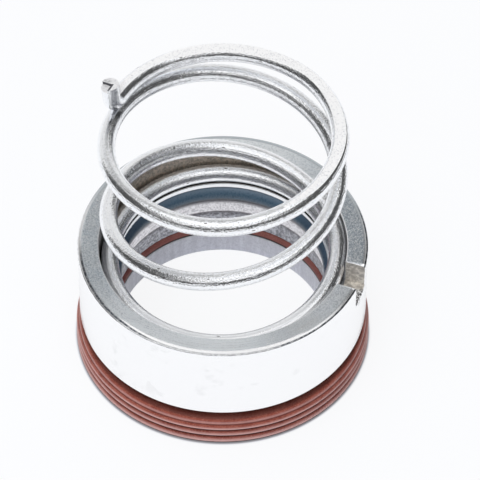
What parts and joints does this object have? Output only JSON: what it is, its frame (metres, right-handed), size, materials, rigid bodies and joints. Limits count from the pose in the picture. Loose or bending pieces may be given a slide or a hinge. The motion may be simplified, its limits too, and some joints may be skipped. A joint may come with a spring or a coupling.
{
  "type": "mechanical shaft seal",
  "caption": "Single-spring mechanical shaft seal: a rubber-mounted ribbed seat ring, and a spring-loaded rotary head with face ring, retainer and O-ring.",
  "frame": {"origin": "on the seal's axis, in the plane of the seat's lapped face, which it stands on", "axes": "+Z along the shaft from the seat to the spring; the drive slot points 18 degrees from +X towards -Y"},
  "size_m": [0.0588, 0.0588, 0.0628],
  "materials": {
    "seat_ceramic": "pale grey ceramic, ground bore",
    "brown_rubber": "red-brown moulded rubber, satin",
    "face_carbide": "mid-grey carbide, mottled",
    "turned_steel": "turned stainless steel",
    "blue_rubber": "slate-blue rubber, satin",
    "washer_steel": "bright stainless steel",
    "spring_steel": "drawn stainless wire, ground ends"
  },
  "bodies": {
    "seat": {"seat_ring": "seat_ceramic", "seat_cup": "brown_rubber"},
    "rotary_head": {"face_ring": "face_carbide", "retainer": "turned_steel", "shaft_o_ring": "blue_rubber", "thrust_washer": "washer_steel"},
    "spring": {"spring": "spring_steel"}
  },
  "joints": [
    {"name": "head_spin", "type": "hinge", "parent": "seat", "child": "rotary_head", "pos_m": [0, 0, 0.0068], "axis": [0, 0, 1], "continuous": true},
    {"name": "spring_compression", "type": "slide", "parent": "rotary_head", "child": "spring", "axis": [0, 0, -1], "range_m": [0, 0.012], "stiffness_N_per_m": 6400, "deforming": ["spring"]}
  ]
}
